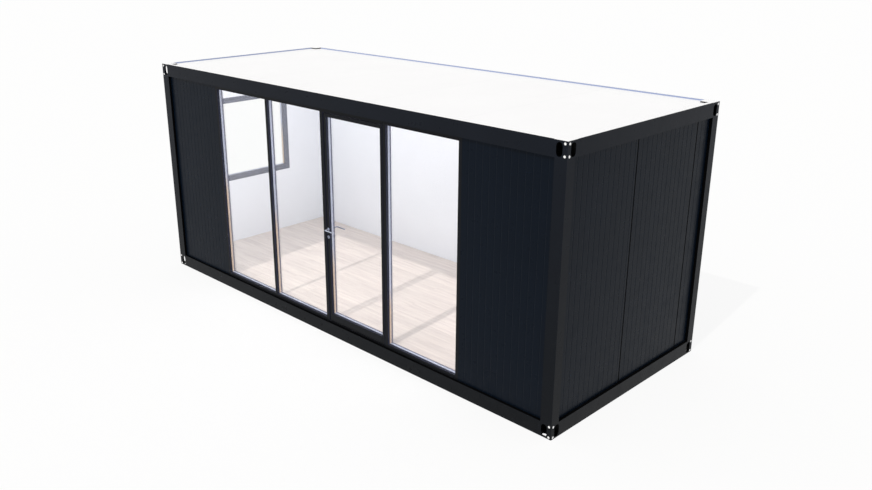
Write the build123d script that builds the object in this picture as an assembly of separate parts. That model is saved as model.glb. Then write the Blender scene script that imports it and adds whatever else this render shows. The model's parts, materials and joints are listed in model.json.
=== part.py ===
from build123d import *
import os

# Overall box, millimetres: X along the cabin, Y across it, Z up, front face towards -Y
length = 6000.0
width = 2400.0
height = 2600.0

# Steel frame
casting_side = 130.0
casting_wall = 10.0
slot_width = 62.0
slot_height = 116.0
slot_rise = 67.5
slot_from_corner = 79.5
end_slot_width = 68.0
end_slot_from_corner = 75.0
base_hole_width = 40.0
base_hole_length = 88.0
base_hole_from_end = 75.0
base_hole_from_front = 35.0
floor_rail_height = 140.0
roof_rail_height = 145.0
steel = 4.0
post_on_front = 120.0
post_on_end = 100.0
rail_bottom_flange = 60.0
roof_top_flange = 36.0

# Wall panels
wall_recess = 28.0
wall_thickness = 80.0
panel_module = 1015.0
first_end_panel = 1027.0
rib_pitch = 76.0
rib_width = 12.0
rib_floor = 4.0
rib_depth = 1.2
joint_width = 7.0
joint_depth = 16.0
tongue_length = 12.0
tongue_thickness = 30.0
fit_gap = 0.3

# Floor, ceiling and roof
deck_thickness = 24.0
belly_thickness = 2.0
joist_width = 60.0
joist_spacing = 620.0
joist_count = 9
member_wall = 3.0
ceiling_thickness = 40.0
bearer_count = 7
bearer_spacing = 830.0
tray_thickness = 3.0
tray_depth = 15.0
tray_rim = 40.0

# Glazed front, from its left edge to its right edge
front_frame_width = 3800.0
left_jamb_face = 35.0
right_jamb_face = 40.0
mullion_face = 39.0
latch_post_face = 44.0
hinge_post_face = 40.0
lite_one_width = 918.0
lite_two_width = 889.0
door_field_width = 879.0
head_face = 40.0
sill_face = 42.0
frame_depth = 75.0
glass_setback = 25.0
glass_thickness = 24.0
glass_bite = 7.0
glass_pocket = 8.0
bar_bevel = 2.0

# Door leaf
latch_gap = 21.0
hinge_gap = 8.0
top_gap = 6.0
threshold_height = 15.0
bottom_gap = 8.0
stile_face = 31.0
door_top_rail = 38.0
door_bottom_rail = 79.0

# Door hinges
hinge_height = 100.0
hinge_radius = 8.0
pin_radius = 4.0
pin_clearance = 0.1
hinge_plate = 3.0
hinge_plate_width = 26.0
hinge_knuckle_gap = 0.5
hinge_inset = 220.0
hinge_knuckles = 3

# Door lever and lock roses
lever_height = 1195.0
lock_drop = 86.0
rose_radius = 15.5
rose_thickness = 3.0
lever_radius = 7.0
lever_standoff = 52.0
inner_lever_standoff = 43.0
lever_length = 122.0
lever_bend = 14.0
lever_tip = 3.0
spindle_radius = 5.0
spindle_clearance = 1.0
lock_core_radius = 7.5
lock_core_stand = 2.0

# Window in the left end wall
window_width = 1100.0
window_height = 1100.0
window_sill = 991.0
window_frame_face = 32.0
sash_face = 38.0
sash_depth = 78.0
sash_inner_stand = 14.0
window_glass_setback = 10.0
handle_plate_width = 28.0
handle_plate_height = 70.0
handle_plate_thickness = 10.0
handle_height = 1598.0
handle_reach = 45.0
handle_length = 100.0
handle_width = 18.0
handle_thickness = 10.0
handle_bend = 14.0

# Levels and planes worked out from the sizes above
half_length = length / 2
half_width = width / 2
wall_foot = floor_rail_height
wall_head = height - roof_rail_height
wall_height = wall_head - wall_foot
outer_y = -half_width + wall_recess
inner_y = outer_y + wall_thickness
frame_inner_y = outer_y + frame_depth
outer_x = half_length - wall_recess
inner_x = outer_x - wall_thickness
inner_half_width = half_width - wall_recess - wall_thickness
rail_shelf = wall_recess + wall_thickness


def block(x_span, y_span, z_span):
    """A plain block between the given low and high values."""
    spans = (x_span, y_span, z_span)
    sizes = [high - low for low, high in spans]
    centre = [(high + low) / 2 for low, high in spans]
    return Pos(*centre) * Box(*sizes)


def prism(points, rise):
    """A closed outline drawn on the ground plane and raised along Z."""
    return extrude(make_face(Polyline(*points, close=True)), amount=rise)


def notched_slab(half_x, half_y, z_span, notch_x, notch_y):
    """A level slab with its four corners cut away beyond notch_x and notch_y."""
    slab = block((-half_x, half_x), (-half_y, half_y), z_span)
    for side_x in (-1, 1):
        for side_y in (-1, 1):
            x_span = sorted((side_x * notch_x, side_x * half_x))
            y_span = sorted((side_y * notch_y, side_y * half_y))
            slab -= block(x_span, y_span, z_span)
    return slab


def sheets_between_castings(half_x, half_y, z_span, notch_x, notch_y):
    """A level layer in three sheets: a wide middle one, and an end one between each pair of castings."""
    middle = block((-notch_x, notch_x), (-half_y, half_y), z_span)
    start = notch_x + fit_gap
    ends = [
        block(sorted((side * start, side * half_x)), (-notch_y, notch_y), z_span)
        for side in (-1, 1)
    ]
    return [middle] + ends


def obround_cutter(wide, tall, depth):
    """A slot cutter standing upright, through the plane y = 0."""
    flat = SlotOverall(tall, wide, rotation=90)
    return extrude(Plane.XZ * flat, amount=depth, both=True)


def corner_casting(rail_height):
    """A hollow corner block with its outer corner at the origin, faces towards -Y and +X."""
    casting = block((-casting_side, 0), (0, casting_side), (0, rail_height))
    low = casting_wall
    high = casting_side - casting_wall
    casting -= block((-high, -low), (low, high), (low, rail_height - low))
    long_slot = obround_cutter(slot_width, slot_height, casting_wall)
    end_slot = obround_cutter(end_slot_width, slot_height, casting_wall)
    casting -= Pos(-slot_from_corner, 0, slot_rise) * long_slot
    casting -= Pos(0, end_slot_from_corner, slot_rise) * Rot(0, 0, 90) * end_slot
    return casting


def base_hole_cutter():
    """The cutter of the long hole in the underside of a floor level casting."""
    hole = extrude(SlotOverall(base_hole_length, base_hole_width), amount=casting_wall, both=True)
    return Pos(-base_hole_from_end, base_hole_from_front, 0) * hole


def corner_post():
    """A folded post with its outer corner at the origin and returns that meet the walls."""
    outline = [
        (0, 0),
        (-post_on_front, 0),
        (-post_on_front, wall_recess),
        (-post_on_front + steel, wall_recess),
        (-post_on_front + steel, steel),
        (-steel, steel),
        (-steel, post_on_end - steel),
        (-wall_recess, post_on_end - steel),
        (-wall_recess, post_on_end),
        (0, post_on_end),
    ]
    return prism(outline, wall_height)


def at_corner(part, side_x, side_y, level):
    """Place a front right corner part at any corner of the plan."""
    placed = part
    if side_x < 0:
        placed = mirror(placed, about=Plane.YZ)
    if side_y > 0:
        placed = mirror(placed, about=Plane.XZ)
    return Pos(side_x * half_length, side_y * half_width, level) * placed


def channel(run, rise, top_flange, bottom_flange, wall):
    """A folded channel along X, centred, its web facing -Y at y = 0 and standing on z = 0."""
    section = [
        (0, 0),
        (bottom_flange, 0),
        (bottom_flange, wall),
        (wall, wall),
        (wall, rise - wall),
        (top_flange, rise - wall),
        (top_flange, rise),
        (0, rise),
    ]
    face = make_face(Polyline(*section, close=True))
    return Pos(-run / 2, 0, 0) * extrude(Plane.YZ * face, amount=run)


def around(part_long, part_end, level):
    """Front, back, left and right copies of a part that faces -Y."""
    return {
        "front": Pos(0, -half_width, level) * part_long,
        "back": Pos(0, half_width, level) * Rot(0, 0, 180) * part_long,
        "left": Pos(-half_length, 0, level) * Rot(0, 0, -90) * part_end,
        "right": Pos(half_length, 0, level) * Rot(0, 0, 90) * part_end,
    }


def panel_outline(run, joint_left, joint_right):
    """Plan outline of a sandwich panel: ribs on the outer face, tongue and groove at joints."""
    half_fit = fit_gap / 2
    lip = joint_width / 2
    tongue_low = (wall_thickness - tongue_thickness) / 2
    tongue_high = tongue_low + tongue_thickness
    start = lip if joint_left else 0.0
    end = run - lip if joint_right else run
    points = [(start, 0.0)]
    rib = rib_pitch
    while rib < run - rib_pitch / 2:
        points.append((rib - rib_width / 2, 0.0))
        points.append((rib - rib_floor / 2, rib_depth))
        points.append((rib + rib_floor / 2, rib_depth))
        points.append((rib + rib_width / 2, 0.0))
        rib += rib_pitch
    points.append((end, 0.0))
    if joint_right:
        points.append((end, joint_depth))
        points.append((run - half_fit, joint_depth))
        points.append((run - half_fit, tongue_low))
        points.append((run + tongue_length, tongue_low))
        points.append((run + tongue_length, tongue_high))
        points.append((run - half_fit, tongue_high))
        points.append((run - half_fit, wall_thickness))
    else:
        points.append((run, wall_thickness))
    if joint_left:
        groove_end = tongue_length + fit_gap
        points.append((half_fit, wall_thickness))
        points.append((half_fit, tongue_high + fit_gap))
        points.append((groove_end, tongue_high + fit_gap))
        points.append((groove_end, tongue_low - fit_gap))
        points.append((half_fit, tongue_low - fit_gap))
        points.append((half_fit, joint_depth))
        points.append((start, joint_depth))
    else:
        points.append((0.0, wall_thickness))
    return points


def panel(run, rise, joint_left=False, joint_right=False):
    """A sandwich panel from x = 0, its outer face at y = 0 facing -Y."""
    return prism(panel_outline(run, joint_left, joint_right), rise)


def panel_row(widths, rise):
    """Panels side by side from x = 0, joined by tongue and groove."""
    row = []
    start = 0.0
    last = len(widths) - 1
    for index, run in enumerate(widths):
        piece = panel(run, rise, joint_left=index > 0, joint_right=index < last)
        row.append(Pos(start, 0, 0) * piece)
        start += run
    return row


def bar(run, face, pocket_low=False, pocket_high=False, depth=frame_depth, setback=glass_setback):
    """A frame bar raised along Z: face width from x = 0, depth from y = 0, glass pockets at its sides."""
    section = [
        (bar_bevel, 0),
        (face - bar_bevel, 0),
        (face, bar_bevel),
        (face, depth - bar_bevel),
        (face - bar_bevel, depth),
        (bar_bevel, depth),
        (0, depth - bar_bevel),
        (0, bar_bevel),
    ]
    piece = prism(section, run)
    slot_y = (setback - fit_gap, setback + glass_thickness + fit_gap)
    if pocket_low:
        piece -= block((0, glass_pocket), slot_y, (0, run))
    if pocket_high:
        piece -= block((face - glass_pocket, face), slot_y, (0, run))
    return piece


def upright(x, z_span, face, depth_at, **options):
    """A bar standing on z_span, its low side at x."""
    return Pos(x, depth_at, z_span[0]) * bar(z_span[1] - z_span[0], face, **options)


def crossbar(x_span, z, face, depth_at, glass_above=False, glass_below=False, **options):
    """A bar lying along X, its underside at z."""
    lying = Rot(0, 90, 0) * bar(
        x_span[1] - x_span[0], face, pocket_low=glass_above, pocket_high=glass_below, **options
    )
    return Pos(x_span[0], depth_at, z + face) * lying


def pane(x_span, z_span, y):
    """A glass unit for the given sight size, its edges let into the pockets."""
    return block(
        (x_span[0] - glass_bite, x_span[1] + glass_bite),
        (y, y + glass_thickness),
        (z_span[0] - glass_bite, z_span[1] + glass_bite),
    )


def on_left_wall(part):
    """Turn a part that faces -Y so that it faces -X in the left end wall."""
    return Pos(-outer_x, 0, 0) * Rot(0, 0, -90) * part


# Places along the glazed front
frame_left = -front_frame_width / 2
frame_right = front_frame_width / 2
lite_one = (frame_left + left_jamb_face, frame_left + left_jamb_face + lite_one_width)
mullion_x = lite_one[1]
lite_two = (mullion_x + mullion_face, mullion_x + mullion_face + lite_two_width)
latch_post_x = lite_two[1]
door_field = (latch_post_x + latch_post_face, latch_post_x + latch_post_face + door_field_width)
hinge_post_x = door_field[1]
lite_three = (hinge_post_x + hinge_post_face, frame_right - right_jamb_face)
lite_z = (wall_foot + sill_face, wall_head - head_face)
frame_z = (wall_foot, wall_head)
glass_y = outer_y + glass_setback

# Places on the door leaf
leaf_x = (door_field[0] + latch_gap, door_field[1] - hinge_gap)
leaf_z = (wall_foot + threshold_height + bottom_gap, lite_z[1] - top_gap)
door_sight_x = (leaf_x[0] + stile_face, leaf_x[1] - stile_face)
door_sight_z = (leaf_z[0] + door_bottom_rail, leaf_z[1] - door_top_rail)
lever_x = leaf_x[0] + stile_face / 2
lock_height = lever_height - lock_drop
hinge_x = leaf_x[1] + hinge_gap / 2
hinge_y = frame_inner_y + hinge_radius

# Window opening, measured along the left wall as seen from outside
window_half = window_width / 2
window_z = (window_sill, window_sill + window_height)


def castings_pair(side_x, side_y):
    """The floor level and roof level castings of one corner."""
    low = corner_casting(floor_rail_height) - base_hole_cutter()
    high = corner_casting(roof_rail_height)
    return [at_corner(low, side_x, side_y, 0), at_corner(high, side_x, side_y, wall_head)]


def floor_joists():
    """Channel joists between the long floor rails, under the deck."""
    rise = wall_foot - deck_thickness - steel - belly_thickness
    run = width - 2 * steel
    joist = Rot(0, 0, 90) * channel(run, rise, joist_width, joist_width, member_wall)
    first = -(joist_count - 1) / 2 * joist_spacing
    return [
        Pos(first + index * joist_spacing + joist_width / 2, 0, steel + belly_thickness) * joist
        for index in range(joist_count)
    ]


def roof_bearers():
    """Channel bearers between the long roof rails, between ceiling and roof tray."""
    low = wall_head + ceiling_thickness
    rise = height - tray_depth - tray_thickness - low
    run = width - 2 * steel
    bearer = Rot(0, 0, 90) * channel(run, rise, joist_width, joist_width, member_wall)
    first = -(bearer_count - 1) / 2 * bearer_spacing
    return [
        Pos(first + index * bearer_spacing + joist_width / 2, 0, low) * bearer
        for index in range(bearer_count)
    ]


def roof_tray(notch_x, notch_y):
    """The sunk roof sheets, from upstand to upstand."""
    low = height - tray_depth - tray_thickness
    reach_x = half_length - tray_rim + tray_thickness
    reach_y = half_width - tray_rim + tray_thickness
    return sheets_between_castings(reach_x, reach_y, (low, low + tray_thickness), notch_x, notch_y)


def roof_edge(run):
    """A folded edge facing -Y: a rim on the roof rail and an upstand down to the roof sheet."""
    inner = tray_rim - tray_thickness
    section = [
        (0, 0),
        (0, -tray_thickness),
        (inner, -tray_thickness),
        (inner, -tray_depth),
        (tray_rim, -tray_depth),
        (tray_rim, 0),
    ]
    face = make_face(Polyline(*section, close=True))
    return Pos(-run / 2, 0, 0) * extrude(Plane.YZ * face, amount=run)


def back_wall():
    """Full modules from the left as seen from behind, and one cut panel."""
    span = 2 * inner_x
    count = int(span // panel_module)
    widths = [panel_module] * count + [span - count * panel_module]
    row = panel_row(widths, wall_height)
    return [Pos(inner_x, -outer_y, wall_foot) * Rot(0, 0, 180) * piece for piece in row]


def right_wall():
    """Three panels across the right end: a first one, a full module and a cut one."""
    span = 2 * -outer_y
    widths = [first_end_panel, panel_module, span - first_end_panel - panel_module]
    row = panel_row(widths, wall_height)
    return [Pos(outer_x, outer_y, wall_foot) * Rot(0, 0, 90) * piece for piece in row]


def left_wall_sides():
    """The panels beside the window in the left end wall."""
    span = -outer_y - window_half
    side = panel(span, wall_height)
    return [
        on_left_wall(Pos(outer_y, 0, wall_foot) * side),
        on_left_wall(Pos(window_half, 0, wall_foot) * side),
    ]


def left_wall_middle():
    """The panels under and over the window in the left end wall."""
    below = panel(window_width, window_z[0] - wall_foot)
    above = panel(window_width, wall_head - window_z[1])
    return [
        on_left_wall(Pos(-window_half, 0, wall_foot) * below),
        on_left_wall(Pos(-window_half, 0, window_z[1]) * above),
    ]


def frame_uprights():
    """The two outer jambs of the glazed front and the mullion between the left lites."""
    return [
        upright(frame_left, frame_z, left_jamb_face, outer_y, pocket_high=True),
        upright(mullion_x, frame_z, mullion_face, outer_y, pocket_low=True, pocket_high=True),
        upright(frame_right - right_jamb_face, frame_z, right_jamb_face, outer_y, pocket_low=True),
    ]


def door_posts():
    """The posts on both sides of the door, each holding a fixed lite on its far side."""
    return [
        upright(latch_post_x, frame_z, latch_post_face, outer_y, pocket_low=True),
        upright(hinge_post_x, frame_z, hinge_post_face, outer_y, pocket_high=True),
    ]


def frame_heads():
    """Head bars over the three fixed lites and over the door."""
    lites = [crossbar(span, lite_z[1], head_face, outer_y, glass_below=True)
             for span in (lite_one, lite_two, lite_three)]
    return lites + [crossbar(door_field, lite_z[1], head_face, outer_y)]


def frame_sills():
    """Sill bars under the three fixed lites."""
    return [crossbar(span, wall_foot, sill_face, outer_y, glass_above=True)
            for span in (lite_one, lite_two, lite_three)]


def fixed_glass():
    """The three fixed lites of the front."""
    return [pane(span, lite_z, glass_y) for span in (lite_one, lite_two, lite_three)]


def lever_bore(y_span, radius, level):
    """A round cutter along Y on the lever's line."""
    run = y_span[1] - y_span[0]
    middle = (y_span[0] + y_span[1]) / 2
    return Pos(lever_x, middle, level) * Rot(90, 0, 0) * Cylinder(radius, run)


def door_stiles():
    """The latch stile, bored for the lever and the lock, and the hinge stile."""
    latch = upright(leaf_x[0], leaf_z, stile_face, outer_y, pocket_high=True)
    through = (outer_y, frame_inner_y)
    latch -= lever_bore(through, spindle_radius + spindle_clearance, lever_height)
    latch -= lever_bore(through, lock_core_radius + fit_gap, lock_height)
    hinge = upright(leaf_x[1] - stile_face, leaf_z, stile_face, outer_y, pocket_low=True)
    return [latch, hinge]


def door_rails():
    """The top and bottom rails of the door leaf."""
    return [
        crossbar(door_sight_x, door_sight_z[1], door_top_rail, outer_y, glass_below=True),
        crossbar(door_sight_x, leaf_z[0], door_bottom_rail, outer_y, glass_above=True),
    ]


def hinge_levels():
    """Mid heights of the three door hinges."""
    low = leaf_z[0] + hinge_inset
    high = leaf_z[1] - hinge_inset
    return [low, (low + high) / 2, high]


def hinge_plate_block(side, level):
    """The flat plate of a hinge half on the inner face, to one side of the axis."""
    x_span = sorted((hinge_x, hinge_x + side * (hinge_gap / 2 + hinge_plate_width)))
    half = hinge_height / 2
    return block(x_span, (frame_inner_y, frame_inner_y + hinge_plate), (level - half, level + half))


def hinge_post_halves():
    """Plates on the door post with end knuckles and the pin."""
    halves = []
    knuckle = hinge_height / hinge_knuckles
    for level in hinge_levels():
        half = hinge_plate_block(1, level)
        half += Pos(hinge_x, hinge_y, level - knuckle) * Cylinder(hinge_radius, knuckle)
        half += Pos(hinge_x, hinge_y, level + knuckle) * Cylinder(hinge_radius, knuckle)
        clear = hinge_radius + hinge_knuckle_gap
        room = knuckle / 2 + hinge_knuckle_gap
        half -= block(
            (hinge_x - clear, hinge_x + clear), (frame_inner_y, hinge_y + clear), (level - room, level + room)
        )
        half += Pos(hinge_x, hinge_y, level) * Cylinder(pin_radius, hinge_height)
        halves.append(half)
    return halves


def hinge_door_halves():
    """Plates on the door stile with the middle knuckle, bored for the pin."""
    halves = []
    knuckle = hinge_height / hinge_knuckles
    for level in hinge_levels():
        half = hinge_plate_block(-1, level)
        clear = hinge_radius + hinge_knuckle_gap
        low = (level - hinge_height / 2, level - knuckle / 2)
        high = (level + knuckle / 2, level + hinge_height / 2)
        for span in (low, high):
            half -= block((hinge_x - clear, hinge_x + clear), (frame_inner_y, hinge_y + clear), span)
        half += Pos(hinge_x, hinge_y, level) * Cylinder(hinge_radius, knuckle)
        half -= Pos(hinge_x, hinge_y, level) * Cylinder(pin_radius + pin_clearance, hinge_height)
        halves.append(half)
    return halves


def rose(y_face, outward, level, bore):
    """A round cover on the stile's face with a bore for a neck or a lock."""
    y_span = sorted((y_face, y_face + outward * rose_thickness))
    disc = lever_bore(y_span, rose_radius, level)
    return disc - lever_bore(y_span, bore, level)


def door_escutcheons():
    """Lever roses and lock roses, outside and inside."""
    neck_bore = lever_radius + pin_clearance
    core_bore = lock_core_radius + pin_clearance
    return [
        rose(outer_y, -1, lever_height, neck_bore),
        rose(frame_inner_y, 1, lever_height, neck_bore),
        rose(outer_y, -1, lock_height, core_bore),
        rose(frame_inner_y, 1, lock_height, core_bore),
    ]


def lock_core():
    """The lock cylinder through the latch stile."""
    reach = rose_thickness + lock_core_stand
    return lever_bore((outer_y - reach, frame_inner_y + reach), lock_core_radius, lock_height)


def lever_arm(y_face, outward, standoff):
    """One lever: a neck out of the rose that bends round into the grip."""
    root = y_face + outward * fit_gap
    far = y_face + outward * standoff
    path = FilletPolyline(
        (lever_x, root, lever_height),
        (lever_x, far, lever_height),
        (lever_x + lever_length, far, lever_height),
        radius=lever_bend,
    )
    start = Plane((lever_x, root, lever_height), z_dir=(0, outward, 0))
    arm = sweep(start * Circle(lever_radius), path=path)
    taper = Rot(0, 90, 0) * Cone(lever_radius, lever_radius - lever_tip, lever_tip)
    return arm + Pos(lever_x + lever_length + lever_tip / 2, far, lever_height) * taper


def door_lever():
    """Outside and inside levers joined by the spindle."""
    spindle = lever_bore(
        (outer_y - rose_thickness, frame_inner_y + rose_thickness), spindle_radius, lever_height)
    outside = lever_arm(outer_y, -1, lever_standoff)
    inside = lever_arm(frame_inner_y, 1, inner_lever_standoff)
    return outside + spindle + inside


def window_bars(low, high, z_span, face, depth_at, depth, setback, glazed):
    """Uprights and crossbars of a rectangular frame in the left wall's own plane."""
    sides = [
        upright(low, z_span, face, depth_at, depth=depth, setback=setback, pocket_high=glazed),
        upright(high - face, z_span, face, depth_at, depth=depth, setback=setback, pocket_low=glazed),
    ]
    inner = (low + face, high - face)
    rails = [
        crossbar(inner, z_span[0], face, depth_at, depth=depth, setback=setback, glass_above=glazed),
        crossbar(inner, z_span[1] - face, face, depth_at, depth=depth, setback=setback, glass_below=glazed),
    ]
    return [on_left_wall(piece) for piece in sides], [on_left_wall(piece) for piece in rails]


sash_low = -window_half + window_frame_face + fit_gap
sash_high = -sash_low
sash_z = (window_z[0] + window_frame_face + fit_gap, window_z[1] - window_frame_face - fit_gap)
sash_face_y = wall_thickness + sash_inner_stand - sash_depth


def window_glass():
    """The window's glass unit."""
    x_span = (sash_low + sash_face, sash_high - sash_face)
    z_span = (sash_z[0] + sash_face, sash_z[1] - sash_face)
    return on_left_wall(pane(x_span, z_span, sash_face_y + window_glass_setback))


def window_handle():
    """The inside handle on the sash stile nearest the front: a plate and a flat bent grip, hanging down."""
    along = sash_high - sash_face / 2
    face = sash_face_y + sash_depth
    plate = block(
        (along - handle_plate_width / 2, along + handle_plate_width / 2),
        (face, face + handle_plate_thickness),
        (handle_height - handle_plate_height / 2, handle_height + handle_plate_height / 2),
    )
    root = (along, face + handle_plate_thickness / 2, handle_height)
    bend = (along, face + handle_reach, handle_height)
    end = (along, face + handle_reach, handle_height - handle_length)
    path = FilletPolyline(root, bend, end, radius=handle_bend)
    start = Plane(root, x_dir=(1, 0, 0), z_dir=(0, 1, 0))
    grip = sweep(start * Rectangle(handle_width, handle_thickness), path=path)
    return on_left_wall(plate + grip)


def save(name, pieces):
    """Write one named sub-part, of one solid or of several like solids."""
    solids = pieces if isinstance(pieces, list) else [pieces]
    shape = solids[0] if len(solids) == 1 else Compound(children=solids)
    export_step(shape, f"parts/{name}.step")


os.makedirs("parts", exist_ok=True)

corner_names = {
    "front_left": (-1, -1),
    "front_right": (1, -1),
    "back_left": (-1, 1),
    "back_right": (1, 1),
}
for corner, (side_x, side_y) in corner_names.items():
    save(f"corner_castings_{corner}", castings_pair(side_x, side_y))
    save(f"corner_post_{corner}", at_corner(corner_post(), side_x, side_y, wall_foot))

long_run = length - 2 * casting_side
end_run = width - 2 * casting_side
floor_long = channel(long_run, floor_rail_height, rail_shelf, rail_bottom_flange, steel)
floor_end = channel(end_run, floor_rail_height, rail_shelf, rail_bottom_flange, steel)
for side, rail in around(floor_long, floor_end, 0).items():
    save(f"floor_rail_{side}", rail)

roof_web = roof_rail_height - tray_thickness
roof_long = channel(long_run, roof_web, roof_top_flange, rail_shelf, steel)
roof_end = channel(end_run, roof_web, roof_top_flange, rail_shelf, steel)
for side, rail in around(roof_long, roof_end, wall_head).items():
    save(f"roof_rail_{side}", rail)

block_x = half_length - casting_side - fit_gap
block_y = half_width - casting_side - fit_gap
save("floor_deck", notched_slab(
    inner_x, inner_half_width, (wall_foot - deck_thickness, wall_foot), block_x, block_y))
save("belly_sheet", sheets_between_castings(
    half_length - steel - fit_gap, half_width - steel - fit_gap,
    (steel, steel + belly_thickness), block_x, block_y))
save("floor_joists", floor_joists())
save("ceiling", notched_slab(
    inner_x, inner_half_width, (wall_head, wall_head + ceiling_thickness), block_x, block_y))
save("roof_bearers", roof_bearers())
save("roof_tray", roof_tray(block_x, block_y))
edges = around(roof_edge(2 * block_x), roof_edge(2 * block_y), height)
save("roof_edges", list(edges.values()))

front_panel_run = inner_x - front_frame_width / 2
front_panel = panel(front_panel_run, wall_height)
save("front_panel_left", Pos(-inner_x, outer_y, wall_foot) * front_panel)
save("front_panel_right", Pos(frame_right, outer_y, wall_foot) * front_panel)
save("back_wall", back_wall())
save("right_wall", right_wall())
save("left_wall_sides", left_wall_sides())
save("left_wall_middle", left_wall_middle())

save("frame_uprights", frame_uprights())
save("door_posts", door_posts())
save("frame_heads", frame_heads())
save("frame_sills", frame_sills())
save("door_threshold", block(
    door_field, (outer_y, frame_inner_y), (wall_foot, wall_foot + threshold_height)))
save("fixed_glass", fixed_glass())

save("door_stiles", door_stiles())
save("door_rails", door_rails())
save("door_glass", pane(door_sight_x, door_sight_z, glass_y))
save("hinge_post_halves", hinge_post_halves())
save("hinge_door_halves", hinge_door_halves())
save("door_escutcheons", door_escutcheons())
save("lock_core", lock_core())
save("door_lever", door_lever())

frame_sides, frame_rails = window_bars(
    -window_half, window_half, window_z, window_frame_face, 0, wall_thickness, glass_setback, False)
sash_sides, sash_rails = window_bars(
    sash_low, sash_high, sash_z, sash_face, sash_face_y, sash_depth, window_glass_setback, True)
save("window_frame_sides", frame_sides)
save("window_frame_rails", frame_rails)
save("window_sash_stiles", sash_sides)
save("window_sash_rails", sash_rails)
save("window_glass", window_glass())
save("window_handle", window_handle())
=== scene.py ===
import json
import math

import bmesh
import bpy
from mathutils import Matrix, Vector


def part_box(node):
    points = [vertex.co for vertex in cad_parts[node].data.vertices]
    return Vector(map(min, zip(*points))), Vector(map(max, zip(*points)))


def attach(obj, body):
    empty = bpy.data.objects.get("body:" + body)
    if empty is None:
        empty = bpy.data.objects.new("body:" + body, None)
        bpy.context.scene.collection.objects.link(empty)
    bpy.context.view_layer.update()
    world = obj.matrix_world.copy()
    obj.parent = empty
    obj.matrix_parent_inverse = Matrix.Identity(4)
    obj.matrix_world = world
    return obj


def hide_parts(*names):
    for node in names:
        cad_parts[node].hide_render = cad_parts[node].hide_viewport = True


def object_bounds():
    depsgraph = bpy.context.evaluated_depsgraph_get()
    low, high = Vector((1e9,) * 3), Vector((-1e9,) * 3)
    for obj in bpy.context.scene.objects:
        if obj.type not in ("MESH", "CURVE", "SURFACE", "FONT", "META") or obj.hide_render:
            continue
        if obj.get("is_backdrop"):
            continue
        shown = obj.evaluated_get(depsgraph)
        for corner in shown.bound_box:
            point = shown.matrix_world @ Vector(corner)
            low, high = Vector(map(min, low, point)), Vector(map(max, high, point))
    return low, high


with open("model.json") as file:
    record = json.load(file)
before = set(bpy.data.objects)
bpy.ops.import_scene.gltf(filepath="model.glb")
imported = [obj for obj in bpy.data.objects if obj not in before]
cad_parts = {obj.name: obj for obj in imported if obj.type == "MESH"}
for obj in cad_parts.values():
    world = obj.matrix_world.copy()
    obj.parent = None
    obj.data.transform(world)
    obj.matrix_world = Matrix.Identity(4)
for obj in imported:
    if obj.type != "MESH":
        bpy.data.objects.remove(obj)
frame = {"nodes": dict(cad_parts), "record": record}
cad_low, cad_high = (list(corner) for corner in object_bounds())

# Sizes of the pieces that are added here, in metres; bolt_dome is in shares of a head's radius and height,
# board_row_shift in shares of a board's length
pane_thickness = 0.004
spacer_inset = 0.0065
spacer_width = 0.0065
gasket_width = 0.0015
gasket_proud = 0.001
gasket_crown = 0.0016
bead_width = 0.005
glass_bite = 0.007
board_length = 1.285
board_width = 0.192
board_thickness = 0.008
board_edge = 0.0004
board_joint = 0.0003
board_row_shift = 0.37
shortest_board = 0.02
wall_clearance = 0.002
bolt_radius = 0.011
bolt_height = 0.0022
bolt_foot = 0.002
bolt_segments = 20
bolt_dome = ((1.0, 0.5), (0.8, 0.85), (0.45, 1.0), (0.4, 0.6))
bolt_from_edge_long = 0.026
bolt_from_edge_end = 0.025
bolt_middle = 0.069
bolt_rise = 0.0505
# Black strips that stand for the shade on the floor rails' ledges and the posts' returns
shade_strip_thickness = 0.002
shade_strip_from_edge = 0.0015
shade_strip_eased_edge = 0.0004
same_point = 1e-5

# The camera, solved from the corners of the cabin in the photograph
camera_place = Vector((6.7233, -6.5230, 4.0536))
camera_right = Vector((0.70627, 0.70794, -0.00011))
camera_down = Vector((0.23467, -0.23426, -0.94343))
camera_forward = Vector((-0.66792, 0.66629, -0.33158))
camera_lens = 35.75
camera_sensor = 36.0
camera_shift = (0.0217, -0.0049)
camera_reach = 200.0

# Light and studio floor
sky_level = 0.70
sun_strength = 1.3
sun_place = (0, -8, 9)
sun_direction = Vector((-0.115, 1.0, -1.20))
sun_angle = math.radians(0.7)
sun_colour = (1.0, 0.975, 0.93)
ceiling_lamp_power = 15.0
ceiling_lamp_width = 1.8
front_lamp_power = 12.0
front_lamp_height = 2.1
side_lamp_power = 19.0
side_lamp_size = (1.1, 1.9)
side_lamp_x = 2.3
lamp_middle_x = -1.25
lamp_length = 3.4
lamp_under_ceiling = 0.06
lamp_behind_wall = 0.03
room_lamp_colour = (0.965, 0.98, 1.0)
studio_floor_size = 60.0
studio_floor_drop = 0.0005
studio_floor_grey = (0.9, 0.9, 0.9)
studio_white_share = 0.87

# Colours, as linear values
white = (1, 1, 1)
roof_white = (0.95, 0.95, 0.96)
# Painted shade: the bluish grey of the white upstands' shaded inner faces
painted_upstand_shade = (0.34, 0.40, 0.60)
roof_seam_grey = (0.55, 0.56, 0.58)
# Painted shade: black for the darkness in the castings' hollows and the panels' grooves
painted_hollow_shade = (0.0012, 0.0012, 0.0014)
dust_colour = (0.30, 0.27, 0.23)
dark_paint = (0.0076, 0.0098, 0.0150)
# Painted shade: the steel paint is darkened by this towards the ground
painted_ground_shade = (0.70, 0.66, 0.56)
panel_paint = (0.0024, 0.0054, 0.0112)
profile_paint = (0.0072, 0.0082, 0.0105)
# Painted light: the profiles' sides, lightened as if lit by the bright surround
painted_return_light = (0.034, 0.037, 0.058)
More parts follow.
